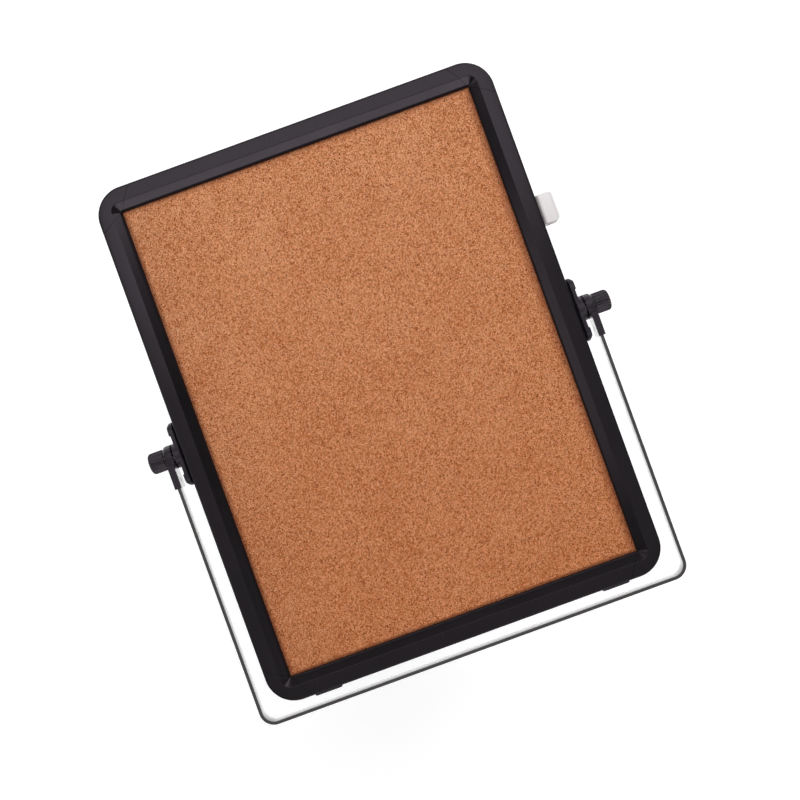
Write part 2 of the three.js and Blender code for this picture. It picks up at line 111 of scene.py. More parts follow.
# %% [markdown]
# ## Building meshes from arrays
#
# Most pieces here are rings of points carried along a path or round an axis, and a few helpers
# turn such arrays into meshes. Blender could sweep curves, but an array shows its formula and
# every point of it can be measured.


# %% Grids and rings of points
def quads(rows, columns, wrap_rows=False, wrap_columns=True):
    """The four corners of each face of a grid whose points are numbered row by row. A wrapped
    direction also joins its last line of points to its first."""
    row, column = np.meshgrid(
        np.arange(rows if wrap_rows else rows - 1),
        np.arange(columns if wrap_columns else columns - 1),
        indexing="ij",
    )
    next_row, next_column = (row + 1) % rows * columns, (column + 1) % columns
    row *= columns
    corners = [row + column, next_row + column, next_row + next_column, row + next_column]
    return np.stack(corners, -1).reshape(-1, 4).tolist()


def loft(rings):
    """A skin over rings of points, given as an array of shape (rings, points, 3), with the first
    and the last ring each closed by one face."""
    count, size = rings.shape[:2]
    last = (count - 1) * size
    ends = [list(range(size)), list(range(last, last + size))]
    return rings.reshape(-1, 3), quads(count, size) + ends


def turned(profile, steps, change=None, closed=False):
    """A profile of [radius, place] points turned about the x axis: y = radius cos(angle) and
    z = radius sin(angle). change(radius, place, angle) may move the points to cut grooves."""
    angle = np.linspace(0, 2 * np.pi, steps, endpoint=False)[:, None]
    radius, place, _ = np.broadcast_arrays(*np.asarray(profile, float).T, angle)
    if change:
        radius, place = change(radius, place, angle)
    points = np.stack([place, radius * np.cos(angle), radius * np.sin(angle)], -1)
    return points.reshape(-1, 3), quads(steps, points.shape[1], True, closed)


def arc(centre, radius, start, end, steps):
    """Points round part of a circle, or of an ellipse if radius has two numbers, in degrees."""
    angle = np.radians(np.linspace(start, end, steps))[:, None]
    return centre + radius * np.hstack([np.cos(angle), np.sin(angle)])


def rounded_rectangle(width, height, radius, steps=6):
    """The outline of a rectangle about the origin whose four corners are quarter circles."""
    x, y = width / 2 - radius, height / 2 - radius
    centres = [(x, y), (-x, y), (-x, -y), (x, -y)]
    return np.vstack([arc(c, radius, 90 * k, 90 * k + 90, steps) for k, c in enumerate(centres)])


def outside_of(outline):
    """Unit normals of an outline that runs anticlockwise, pointing out of it."""
    along = np.roll(outline, -1, 0) - np.roll(outline, 1, 0)
    along /= np.linalg.norm(along, axis=1)[:, None]
    return np.column_stack([along[:, 1], -along[:, 0]])


def smooth(value, low, high):
    """0 below low, 1 above high, and the smoothstep curve 3t^2 - 2t^3 between them."""
    part = np.clip((value - low) / (high - low), 0, 1)
    return part * part * (3 - 2 * part)


# %% [markdown]
# A mesh is only useful once it is closed, faces outwards, moves with the right body and stands
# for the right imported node. The helpers below see to that in the same way for every piece, and
# print how far the new surface's box lies from its node's.


# %% From arrays to a piece on its body
# Points closer than these, in metres, are merged in new meshes and in packed ones.
SAME_POINT, SAME_CORNER = 1e-7, 2e-6


def merged(mesh, gap):
    """An editable shape of a mesh in which points closer than a gap are merged."""
    shape = bmesh.new()
    shape.from_mesh(mesh)
    bmesh.ops.remove_doubles(shape, verts=shape.verts, dist=gap)
    return shape


def make_piece(name, surface, body, finish, node, sharp=35):
    """Makes a closed mesh of (points in mm, faces): merges points that coincide, drops edges left
    without a face, and turns the faces outwards."""
    points, faces = surface
    mesh = bpy.data.meshes.new(name)
    mesh.from_pydata((np.asarray(points) * MM + PIVOT).tolist(), [], faces)
    shape = merged(mesh, SAME_POINT)
    wires = [edge for edge in shape.edges if edge.is_wire]
    bmesh.ops.delete(shape, geom=wires, context="EDGES")
    bmesh.ops.recalc_face_normals(shape, faces=shape.faces)
    if shape.calc_volume(signed=True) < 0:
        bmesh.ops.reverse_faces(shape, faces=shape.faces)
    return settle(name, mesh, shape, body, finish, node, sharp)


def settle(name, mesh, shape, body, finish, node, sharp):
    """Writes a finished shape into its mesh, shades it smooth up to an angle, and puts it on a
    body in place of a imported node."""
    open_edges = sum(not edge.is_manifold for edge in shape.edges)
    volume = shape.calc_volume() / MM**3
    shape.to_mesh(mesh)
    shape.free()
    if "custom_normal" in mesh.attributes:
        mesh.attributes.remove(mesh.attributes["custom_normal"])
    mesh.shade_smooth()
    mesh.set_sharp_from_angle(angle=np.radians(sharp))
    mesh.materials.clear()
    mesh.materials.append(finish)
    piece = new_object(name, mesh)
    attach(piece, body)
    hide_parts(node)
    corners = np.array([point.co for point in mesh.vertices])
    off = abs(np.array([corners.min(0), corners.max(0)]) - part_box(node)).max() / MM
    print(f"{name}: {len(mesh.polygons)} faces, {open_edges} open edges,", end=" ")
    print(f"{volume:.0f} mm3, box within {off:.2f} mm of {node}")
    return piece


# %% [markdown]
# ## Shared effects
#
# Two effects return in several finishes, so each is a node group: the fine spark-eroded grain of a
# mould, and the faint marks that handling leaves. They put out heights and masks only, and each
# material decides what these do to its colour, roughness and relief.


# %% Helpers for node trees
def feed(node, sockets):
    """Links each named socket to an output of another node, or sets it to a number or colour."""
    for name, value in sockets.items():
        if isinstance(value, bpy.types.NodeSocket):
            node.id_data.links.new(value, node.inputs[name])
        else:
            node.inputs[name].default_value = value


def add(tree, kind, sockets=None, **settings):
    """Adds a shader node with some settings, feeds its sockets and returns its outputs."""
    node = tree.nodes.new(f"ShaderNode{kind}")
    for name, value in settings.items():
        setattr(node, name, value)
    feed(node, sockets or {})
    return node.outputs


def calc(tree, operation, first, second=0.0, third=0.0):
    """One step of arithmetic on two or three values or sockets."""
    return add(tree, "Math", {0: first, 1: second, 2: third}, operation=operation)[0]


def spread(tree, value, low, high, to_low=0.0, to_high=1.0):
    """Maps a value from one range to another and holds it there."""
    sockets = {"Value": value, "From Min": low, "From Max": high}
    sockets |= {"To Min": to_low, "To Max": to_high}
    return add(tree, "MapRange", sockets)["Result"]


def blend(tree, share, first, second, kind="MIX"):
    """Mixes two colours by a share from 0 to 1, or multiplies them if kind is MULTIPLY."""
    sockets = {0: share}
    for index, part in ((6, first), (7, second)):
        sockets[index] = part if isinstance(part, bpy.types.NodeSocket) else (*part, 1.0)
    return add(tree, "Mix", sockets, data_type="RGBA", blend_type=kind)[2]


def tinted(tree, colour, share, first, second):
    """A colour times a mix of two tints."""
    return blend(tree, 1.0, colour, blend(tree, share, first, second), "MULTIPLY")


def pattern(tree, kind, place, scale, **values):
    """A noise or Voronoi texture with so many cells a metre."""
    return add(tree, f"Tex{kind}", {"Vector": place, "Scale": scale} | values)


def noise(tree, place, size, detail=2.0, roughness=0.5):
    """Smooth noise whose lumps are about a size in mm wide."""
    values = {"Detail": detail, "Roughness": roughness}
    return pattern(tree, "Noise", place, 1 / (size * MM), **values)["Fac"]


def grains(tree, place, size):
    """A Voronoi pattern whose cells are about a size in mm wide."""
    return pattern(tree, "Voronoi", place, 1 / (size * MM))


def new_group(name, inputs, outputs):
    """An empty group with float inputs and outputs, and a vector input called Place."""
    tree = bpy.data.node_groups.new(name, "ShaderNodeTree")
    tree.interface.new_socket("Place", in_out="INPUT", socket_type="NodeSocketVector")
    for label, value in inputs.items():
        socket = tree.interface.new_socket(label, in_out="INPUT", socket_type="NodeSocketFloat")
        socket.default_value = value
    for label in outputs:
        tree.interface.new_socket(label, in_out="OUTPUT", socket_type="NodeSocketFloat")
    return tree, tree.nodes.new("NodeGroupInput").outputs, tree.nodes.new("NodeGroupOutput")


def use(tree, group, place, **values):
    """Places a group in a material with its own values and returns its outputs."""
    return add(tree, "Group", {"Place": place} | values, node_tree=group)


# %% Mould grain
tree, given, result = new_group("Mould grain", {"Size": 0.3}, ("Height", "Cloud"))
grain_scale = calc(tree, "DIVIDE", 1 / MM, given["Size"])
fine = pattern(tree, "Noise", given["Place"], grain_scale, Detail=3.0, Roughness=0.6)
broad = pattern(tree, "Noise", given["Place"], 38.0, Detail=2.0)
feed(result, {"Height": fine["Fac"], "Cloud": spread(tree, broad["Fac"], 0.35, 0.65)})
grain_group = tree
print("group:", grain_group.name)

# %% Handling marks
tree, given, result = new_group("Handling marks", {"Amount": 0.5}, ("Dull", "Scratch"))
smudge = pattern(tree, "Noise", given["Place"], 24.0, Detail=5.0, Roughness=0.65)["Fac"]
sockets = {"Vector": given["Place"], "Rotation": (0.3, 0.2, 0.9), "Scale": (1.0, 0.02, 1.0)}
long_way = add(tree, "Mapping", sockets)[0]
hairlines = pattern(tree, "Noise", long_way, 2600.0, Detail=1.0)["Fac"]
dull = calc(tree, "MULTIPLY", spread(tree, smudge, 0.4, 0.7), given["Amount"])
scratch = calc(tree, "MULTIPLY", spread(tree, hairlines, 0.70, 0.76), given["Amount"])
feed(result, {"Dull": dull, "Scratch": scratch})
marks_group = tree
print("group:", marks_group.name)

# %% [markdown]
# ## Black plastic
#
# The frame, the pivots and the knobs are moulded in satin black plastic. Paint on a smooth shape
# would look wet, so the grain goes into the relief, and the roughness wanders a little where hands
# have been. One function makes all of them: they differ in depth of black, in grain and in gloss.


# %% A material for each black plastic
def new_material(name):
    """A material with its tree, its Principled shader and the object's own coordinates."""
    material = bpy.data.materials.new(name)
    material.use_nodes = True
    tree = material.node_tree
    place = add(tree, "TexCoord")["Object"]
    return material, tree, tree.nodes["Principled BSDF"], place


def dress(shader, colour, roughness, height, depth):
    """Feeds a colour, a roughness, and a height in mm times a depth as relief to a shader."""
    sockets = {"Height": height, "Distance": depth * MM, "Strength": 1.0}
    normal = add(shader.id_data, "Bump", sockets)[0]
    feed(shader, {"Base Color": colour, "Roughness": roughness, "Normal": normal})


def black_plastic(name, colour, dusted, roughness, grain, depth, gloss=0.243, polished=None):
    """Satin black: two close blacks by cloud, roughness raised by smudges, and mould grain. What
    lies nearer the middle than the two numbers in polished, in mm, has a coat that shines edge on:
    the first is measured along x from x = 0, the second down y from the pivots."""
    material, tree, shader, place = new_material(name)
    feed(shader, {"Specular IOR Level": gloss, "Specular Tint": (1.0, 0.86, 1.0, 1.0)})
    mould = use(tree, grain_group, place, Size=grain)
    worn = use(tree, marks_group, place, Amount=0.5)
    rough = spread(tree, worn["Dull"], 0.0, 1.0, roughness, roughness + 0.07)
    rough = calc(tree, "ADD", rough, calc(tree, "MULTIPLY", worn["Scratch"], 0.15))
    if polished:
        across, drop = polished
        axes = add(tree, "SeparateXYZ", {"Vector": place})
        aside = calc(tree, "ABSOLUTE", axes["X"])
        near = spread(tree, aside, (across + 0.2) * MM, across * MM)
        level = float(PIVOT[1]) - drop * MM
        shine = calc(tree, "MULTIPLY", near, spread(tree, axes["Y"], level + 0.2 * MM, level))
        feed(shader, {"Coat Weight": shine, "Coat Roughness": 0.24})
        rough = calc(tree, "MULTIPLY", rough, spread(tree, shine, 0.0, 1.0, 1.0, 0.5))
    dress(shader, blend(tree, mould["Cloud"], colour, dusted), rough, mould["Height"], depth)
    print(f"{name}: roughness from {roughness}, grain {grain} mm")
    return material


frame_plastic = black_plastic(
    "frame plastic", (0.0072, 0.0060, 0.0070), (0.0092, 0.0077, 0.0089), 0.22, 0.25, 0.008
)
HINGE_BLACKS = ((0.0105, 0.0090, 0.0125), (0.0140, 0.0120, 0.0160))
ARM_BACK = (HALF_WIDTH + 7.35, 6.0)
hinge_plastic = black_plastic("hinge plastic", *HINGE_BLACKS, 0.42, 0.30, 0.012, 0.39)
socket_plastic = black_plastic("socket plastic", *HINGE_BLACKS, 0.42, 0.30, 0.008, 0.39, ARM_BACK)
knob_plastic = black_plastic(
    "knob plastic", (0.0085, 0.0075, 0.0095), (0.0115, 0.0100, 0.0120), 0.28, 0.35, 0.010, 0.52
)

# %% [markdown]
# ## The frame's moulding
#
# Four rails and four corner pieces share one section: a rounded outer edge, a flat land, a soft
# crease, a bevel that slopes down towards the cork, and a lip that drops to it. The back is the
# same, and between the two lips a slot holds the sheets. A rail carries the section along a
# straight line and ends in a slanted cut. Extruding a drawn outline would do that too, but the
# corners need the section fanned, so both start from the same array of points.

# %% The moulding's section
LAND_END, LAND_FALL = 8.05, 0.23
EDGE_RUN, EDGE_DROP, EDGE_TILT = 1.1, 1.1, 4
EASE_RUN, BEVEL_SLOPE = 0.3, 0.625
LIP_START, LIP_THICKNESS, LIP_TIP = 12.0, 4.5, 0.3
WEB_DEPTH, BEVEL_START, END_EASE = 5.7, 8.3, 0.08


def land_height(inward):
    """Height of the gently crowned land: crown less fall x (distance from its inner end)^2."""
    return CROWN - LAND_FALL * ((LAND_END - inward) / (LAND_END - EDGE_RUN)) ** 2


def moulding_half():
    """Front half of the section as [inward, height]: an elliptical outer edge that meets the
    land at a small tilt, the land, an ease whose fall grows with the square of the way, a straight
    bevel, and a lip: a quadratic curve (1-t)^2 A + 2t(1-t) B + t^2 C that ends upright."""
    edge = arc((EDGE_RUN, 0.0), (EDGE_RUN, EDGE_DROP), 180, 90 + EDGE_TILT, 12)
    edge[:, 1] += land_height(edge[-1, 0]) - edge[-1, 1]
    inward = np.linspace(edge[-1, 0], LAND_END, 10)[1:]
    land = np.column_stack([inward, land_height(inward)])
    way = np.linspace(0, 1, 7)[1:]
    fall = BEVEL_SLOPE * EASE_RUN * way**2 / 2
    ease = np.column_stack([LAND_END + EASE_RUN * way, CROWN - fall])
    run = np.linspace(0, LIP_START - ease[-1, 0], 5)[1:]
    bevel = ease[-1] + np.column_stack([run, -BEVEL_SLOPE * run])
    below = bevel[-1, 1] - BEVEL_SLOPE * (FACE - LIP_START)
    t = np.linspace(0, 1, 9)[1:, None]
    turn, end = np.array([FACE, below]), np.array([FACE, CROWN - LIP_THICKNESS])
    lip = (1 - t) ** 2 * bevel[-1] + 2 * t * (1 - t) * turn + t**2 * end
    return np.vstack([edge, land, ease, bevel, lip])


FRONT = moulding_half()
SLOT = [[WEB_DEPTH, FRONT[-1, 1]], [WEB_DEPTH, -FRONT[-1, 1]]]
# The closed section: front half, slot for the sheets, and the front half mirrored behind. It runs
# clockwise, so its outside normals point inwards and the eased end is smaller.
SECTION = np.vstack([FRONT, SLOT, (FRONT * [1, -1])[::-1]])
SECTION_END = SECTION + END_EASE * outside_of(SECTION)
print("section:", len(SECTION), "points, bevel from", BEVEL_START, "mm inwards")


# %% Rails
def make_moulding(node, rings, quarters, shift):
    """Makes a piece of the frame from rings, turned about z by quarter turns and moved."""
    x, y, z = np.moveaxis(np.array(rings), -1, 0)
    cosine, sine = np.cos(quarters * np.pi / 2), np.sin(quarters * np.pi / 2)
    surface = loft(np.stack([x * cosine - y * sine, x * sine + y * cosine, z], -1) + [*shift, 0])
    make_piece(f"moulded_{node}", surface, "board", frame_plastic, node, 30)


def rail(half_length):
    """The top rail about the middle of its outer side. At each inward distance d the rail ends at
    x = outer + (inner - outer) d / face, which is the slanted cut; its edge is eased a little."""
    outer, inner = half_length - CORNER_LEG - SEAM, half_length - FACE - SEAM
    ends = [(-1, 0, SECTION_END), (-1, END_EASE, SECTION)]
    ends += [(1, END_EASE, SECTION), (1, 0, SECTION_END)]
    rings = []
    for sign, back, section in ends:
        reach = outer + (inner - outer) * section[:, 0] / FACE - back
        rings.append(np.column_stack([sign * reach, -section[:, 0], section[:, 1]]))
    return rings


make_moulding("rail_top", rail(HALF_WIDTH), 0, (0, HALF_HEIGHT))
make_moulding("rail_left", rail(HALF_HEIGHT), 1, (-HALF_WIDTH, 0))
make_moulding("rail_bottom", rail(HALF_WIDTH), 2, (0, -HALF_HEIGHT))
make_moulding("rail_right", rail(HALF_HEIGHT), 3, (HALF_WIDTH, 0))

# %% [markdown]
# ## The corner pieces
#
# A corner piece carries the same section round the cork's corner. The bevel keeps its distance
# from the cork, so it turns on a small radius, while the land stretches out to the frame's large
# outer rounding. A revolved section can't do both at once. So each ring stands on a ray from the
# cork's corner, and its points are spread between the crease and the outline along that ray.


# %% Corners
def corner_outline(angle):
    """Distance from the cork's corner to the outer outline along a ray: two straight sides joined
    by an arc about (c, c). Along the ray that is t + sqrt(t^2 - 2c^2 + R^2), t = c (cos + sin)."""
    centre = FACE - CORNER_RADIUS
    cosine, sine = np.cos(angle), np.sin(angle)
    along = centre * (cosine + sine)
    round_part = along + np.sqrt(along**2 - 2 * centre**2 + CORNER_RADIUS**2)
    on_side = min(cosine, sine) * round_part < centre
    return FACE / max(cosine, sine) if on_side else round_part


def corner_ring(angle, section):
    """One ring on a ray. Past the ray's straight stretch, distances are measured square to the
    rail, which divides them by the ray's larger direction cosine."""
    inward, height = section.T
    cosine, sine = np.cos(angle), np.sin(angle)
    slant = max(cosine, sine) if cosine * sine < 0 else 1.0
    outline = corner_outline(angle)
    crease = (FACE - BEVEL_START) / slant
    outside = outline - (outline - crease) * inward / BEVEL_START
    inside = np.maximum(FACE - inward, LIP_TIP) / slant
    reach = np.where(inward < BEVEL_START, outside, inside)
    return np.column_stack([reach * cosine, reach * sine, height])


seam = np.arctan2(FACE - CORNER_LEG, FACE)
tangent = np.arctan2(FACE - CORNER_RADIUS, FACE)
ease_turn = END_EASE / FACE
fan = [seam + ease_turn, *np.linspace(tangent, np.pi / 2 - tangent, 56)]
fan += [np.pi / 2 - seam - ease_turn]
corner_rings = [corner_ring(seam, SECTION_END)]
corner_rings += [corner_ring(angle, SECTION) for angle in fan]
corner_rings += [corner_ring(np.pi / 2 - seam, SECTION_END)]
make_moulding("corner_top_right", corner_rings, 0, (CORK_X, CORK_Y))
make_moulding("corner_top_left", corner_rings, 1, (-CORK_X, CORK_Y))
make_moulding("corner_bottom_left", corner_rings, 2, (-CORK_X, -CORK_Y))
make_moulding("corner_bottom_right", corner_rings, 3, (CORK_X, -CORK_Y))

# %% [markdown]
# ## The cork
#
# Cork sheet is ground bark pressed with glue: fine grains in several browns, dark bits of bark,
# pale flakes, and small pits where grains fell out. An image could show that, but it would repeat
# and blur. Here the cells of Voronoi patterns are the grains, each with its own brown, others drop
# in the bark and the flakes, and a noise of two millimetres turns the brown a little towards pink
# or yellow. Painted shade darkens the sheet along its edges, where the frame would shade it, and a
# little more on the left; painted light makes it paler towards its upper end.


# %% Cork's finish
def ramp(tree, share, stops):
    """A colour ramp from pairs of place and colour."""
    result = add(tree, "ValToRGB", {"Fac": share})["Color"]
    elements = result.node.color_ramp.elements
    while len(elements) < len(stops):
        elements.new(0.5)
    for element, (place, colour) in zip(elements, stops):
        element.position = place
        element.color = (*colour, 1.0)
    return result


def middles(tree, cells, few, many, far, near):
    """The middles of some of a pattern's cells, picked by their random colours."""
    picked = spread(tree, cells["Color"], few, many)
    return calc(tree, "MULTIPLY", picked, spread(tree, cells["Distance"], far, near))


cork_finish, tree, shader, place = new_material("pressed cork")
warp = pattern(tree, "Noise", place, 1800.0, Detail=1.0)["Color"]
sockets = {0: warp, 1: (0.0006, 0.0006, 0.0006), 2: place}
uneven = add(tree, "VectorMath", sockets, operation="MULTIPLY_ADD")[0]
grain_cells = grains(tree, uneven, 0.50)
tone = calc(tree, "MULTIPLY", grain_cells["Color"], 0.58)
tone = calc(tree, "MULTIPLY_ADD", grains(tree, uneven, 0.32)["Color"], 0.54, tone)
tone = calc(tree, "MULTIPLY_ADD", noise(tree, place, 5.0, 3.0), 0.10, tone)
tone = calc(tree, "MULTIPLY_ADD", noise(tree, place, 36.0, 2.0), 0.14, tone)
BROWNS = (
    (0.22, (0.228, 0.030, 0.001)),
    (0.48, (0.400, 0.094, 0.009)),
    (0.68, (0.597, 0.216, 0.077)),
    (0.88, (0.760, 0.336, 0.162)),
    (1.00, (0.825, 0.394, 0.204)),
)
hue = spread(tree, noise(tree, place, 2.0, 1.0), 0.32, 0.68)
brown = tinted(tree, ramp(tree, tone, BROWNS), hue, (1.025, 0.975, 0.945), (0.975, 1.025, 1.055))
bark = middles(tree, grains(tree, uneven, 0.90), 0.74, 0.78, 0.50, 0.36)
brown = blend(tree, bark, brown, (0.230, 0.036, 0.002))
flakes = middles(tree, grains(tree, place, 1.6), 0.68, 0.72, 0.34, 0.18)
brown = blend(tree, flakes, brown, (0.715, 0.312, 0.155))
sides = add(tree, "SeparateXYZ", {"Vector": place})
up = calc(tree, "SUBTRACT", sides["Y"], float(PIVOT[1]))
to_edge = to_painted_shade = 1.0
# For each side: how steeply the painted shade ends, and how far outside the edge it starts, in mm.
for across, half, sign, steep, start in (
    (sides["X"], CORK_X, 1, 1.0, 0.0),
    (up, CORK_Y, 1, 1.0, 1.4),
    (sides["X"], CORK_X, -1, 1.8, 0.0),
    (up, CORK_Y, -1, 2.6, 0.0),
):
    gap = calc(tree, "MULTIPLY_ADD", across, -sign, half * MM)
    to_edge = calc(tree, "MINIMUM", gap, to_edge)
    to_painted_shade = calc(tree, "MINIMUM", calc(tree, "MULTIPLY_ADD", gap, steep, start * MM), to_painted_shade)
# Painted shade: the sheet darkens over the last few mm towards each edge, where the frame would
# shade it.
painted_edge_shade = spread(tree, to_painted_shade, 1.2 * MM, 5.0 * MM, 1.0, 0.0)
brown = tinted(tree, brown, painted_edge_shade, (1.0, 1.0, 1.0), (0.62, 0.52, 0.46))
# Painted light: the sheet turns paler and cooler from its lower end to its upper end, as the lamp
# over its upper end lights it.
height = spread(tree, up, -CORK_Y * MM, CORK_Y * MM)
brown = tinted(tree, brown, height, (0.985, 0.930, 0.870), (1.020, 1.080, 1.140))
# Painted shade: the sheet is a little darker over the 40 mm nearest its left edge.
painted_left_shade = spread(tree, sides["X"], -CORK_X * MM, (40.0 - CORK_X) * MM)
brown = tinted(tree, brown, painted_left_shade, (0.920, 0.920, 0.930), (1.0, 1.0, 1.0))
# Painted shade: a dark red-brown band within 1.5 mm of the frame's lip.
painted_lip_shade = spread(tree, to_edge, 0.1 * MM, 1.5 * MM, 0.35, 0.0)
brown = blend(tree, painted_lip_shade, brown, (0.150, 0.040, 0.012))
pits = calc(tree, "MULTIPLY_ADD", bark, -0.8, grain_cells["Distance"])
dress(shader, brown, spread(tree, tone, 0.3, 0.8, 0.54, 0.44), pits, 0.16)
feed(shader, {"Specular IOR Level": 0.25})
print("finish:", cork_finish.name)

# %% [markdown]
# The sheet isn't quite flat. Its face is a grid of points about a millimetre apart, raised and
# lowered by random heights, so that light from the side catches it. A grid gets the outline's
# rounded corners by squeezing each corner square into a quarter disc.

# %% Cork sheet
PITCH, SHEET_RADIUS, HELD_EDGE = 1.05, 8.0, 1.5
BUMP_HEIGHT, PIT_DEPTH, LEVEL_DROP = 0.10, 0.16, 0.08
# Size of a cell in mm and seed of each noise.
COARSE, FINE, PITS = (2.4, 11), (1.3, 12), (1.7, 13)


def lattice_noise(x, y, cell, seed):
    """Random heights at the points of a square lattice, blended between them with smoothstep."""
    table = np.random.default_rng(seed).random((400, 400))
    u, v = (x - x.min()) / cell, (y - y.min()) / cell
    i, j = u.astype(int), v.astype(int)
    s, t = smooth(u - i, 0, 1), smooth(v - j, 0, 1)
    lower = table[i, j] * (1 - s) + table[i + 1, j] * s
    upper = table[i, j + 1] * (1 - s) + table[i + 1, j + 1] * s
    return lower * (1 - t) + upper * t


def round_corners(x, y, half_x, half_y, radius):
    """Squeezes each corner square of a rectangle into a quarter disc: a point keeps its direction
    from the disc's centre, and its distance becomes the larger of its two offsets."""
    over_x, over_y = abs(x) - (half_x - radius), abs(y) - (half_y - radius)
    length = np.hypot(over_x, over_y)
    in_corner = (over_x > 0) & (over_y > 0)
    scale = np.where(in_corner, np.maximum(over_x, over_y) / np.where(length, length, 1), 1)
    new_x = np.where(in_corner, np.sign(x) * (half_x - radius + over_x * scale), x)
    new_y = np.where(in_corner, np.sign(y) * (half_y - radius + over_y * scale), y)
    return new_x, new_y


def cork_surface():
    """The sheet as a closed surface: a grid of heights on top, and one flat face below."""
    low, high = extent("cork_sheet")
    counts = np.ceil((high - low)[:2] / PITCH).astype(int) + 1
    x, y = np.meshgrid(*(np.linspace(low[k], high[k], counts[k]) for k in (0, 1)), indexing="ij")
    bumps = lattice_noise(x, y, *COARSE) - 0.5 + 0.7 * (lattice_noise(x, y, *FINE) - 0.5)
    pits = smooth(lattice_noise(x, y, *PITS), 0.86, 0.97)
    open_part = smooth(CORK_X - abs(x), 0, HELD_EDGE) * smooth(CORK_Y - abs(y), 0, HELD_EDGE)
    relief = BUMP_HEIGHT * np.minimum(bumps, 0.8) - PIT_DEPTH * pits - LEVEL_DROP
    x, y = round_corners(x, y, high[0], high[1], SHEET_RADIUS)
    top = np.stack([x, y, high[2] + open_part * relief], -1).reshape(-1, 3)
    number = np.arange(len(top)).reshape(counts)
    rim = np.array([*number[:-1, 0], *number[-1, :-1], *number[:0:-1, -1], *number[0, :0:-1]])
    below = top[rim] * [1, 1, 0] + [0, 0, low[2]]
    under = np.arange(len(top), len(top) + len(rim))
    wall = np.stack([rim, np.roll(rim, -1), np.roll(under, -1), under], -1)
    faces = quads(*counts, wrap_columns=False) + wall.tolist() + [under.tolist()]
    return np.vstack([top, below]), faces


make_piece("pressed_cork", cork_surface(), "board", cork_finish, "cork_sheet", 80)

# %% [markdown]
# ## The steel strip
#
# The stand is one strip of steel, 8 mm deep and under 2 mm thick, bent twice and painted dark
# grey. A curve with a bevel could be swept along its line, but its edges matter here, because the
# picture shows the strip edge on. So a rounded rectangle is carried along a path of two legs, two
# quarter turns and a bar, always square to the path. The paint has two close tones, a little
# orange peel and a thin clear coat.

# %% Painted steel
strip_paint, tree, shader, place = new_material("painted strip")
mould = use(tree, grain_group, place, Size=0.5)
worn = use(tree, marks_group, place, Amount=0.6)
shade = blend(tree, mould["Cloud"], (0.014, 0.008, 0.008), (0.019, 0.012, 0.012))
dress(shader, shade, spread(tree, worn["Dull"], 0.0, 1.0, 0.26, 0.38), mould["Height"], 0.003)
feed(shader, {"Coat Weight": 1.0, "Coat Roughness": 0.06, "Specular IOR Level": 0.6})
print("finish:", strip_paint.name)

# %% Stand strip
STRIP_THICKNESS, STRIP_DEPTH, STRIP_BEND, STRIP_EDGE = 1.8, 8.0, 8.5, 0.05


def strip_rings():
    """Rings along the U's middle line. At each point of the path, the section's first number is
    measured along the path's left-hand normal (-dy, dx) and its second one along z."""
    low, high = extent("stand_strip")
    x, y, top = high[0] - STRIP_THICKNESS / 2, low[1] + STRIP_THICKNESS / 2, high[1]
    bend = STRIP_BEND - STRIP_THICKNESS / 2
    left = arc((-x + bend, y + bend), bend, 180, 270, 20)
    right = arc((x - bend, y + bend), bend, 270, 360, 20)
    path = np.vstack([[[-x, top]], left, right, [[x, top]]])
    turn = np.radians([270, *np.linspace(270, 360, 20), *np.linspace(0, 90, 20), 90])
    normal = np.column_stack([-np.sin(turn), np.cos(turn)])
    across, deep = rounded_rectangle(STRIP_THICKNESS, STRIP_DEPTH, STRIP_EDGE, 4).T
    flat = path[:, None, :] + normal[:, None, :] * across[None, :, None]
    return np.dstack([flat, np.broadcast_to(deep, flat.shape[:2])])


make_piece("bent_strip", loft(strip_rings()), "stand", strip_paint, "stand_strip")

# %% [markdown]
# ## Knobs and washers
#
# Each knob is a short turned body with 24 grooves for the fingers and a rounded end. It could be a
# lathe shape with grooves cut by booleans, but a groove is only a dip in the radius that repeats
# round the axis and fades out over the rounded end, so the radius itself carries it.


# %% Knobs
def outward(node):
    """How far out from the frame's side a right-hand node starts and ends, in mm."""
    return extent(node)[:, 0] - HALF_WIDTH


def on_side(surface, side):
    """Moves a surface drawn outwards from the frame's side to the left or right side."""
    points, faces = surface
    return (points + [HALF_WIDTH, 0, 0]) * [SIGN[side], 1, 1], faces


def make_pair(prefix, kind, surface, finish, sharp=35):
    """Makes a piece for the left and for the right node of a kind, each on its own body."""
    for side in SIGN:
        node, body = f"{kind}_{side}", f"{side}_{kind}"
        make_piece(f"{prefix}_{node}", on_side(surface, side), body, finish, node, sharp)


KNOB_RADIUS, KNOB_ROUND, RIB_COUNT, RIB_DEPTH, RIM = 5.95, 1.9, 24, 0.55, 0.25
KNOB_BORE, NUT_SEAT, SEAT_DEPTH, SIDE_START, FADE = 2.3, 3.5, 2.6, 0.6, (1.6, 0.2)
KNOB_START, KNOB_END = outward("knob_right")


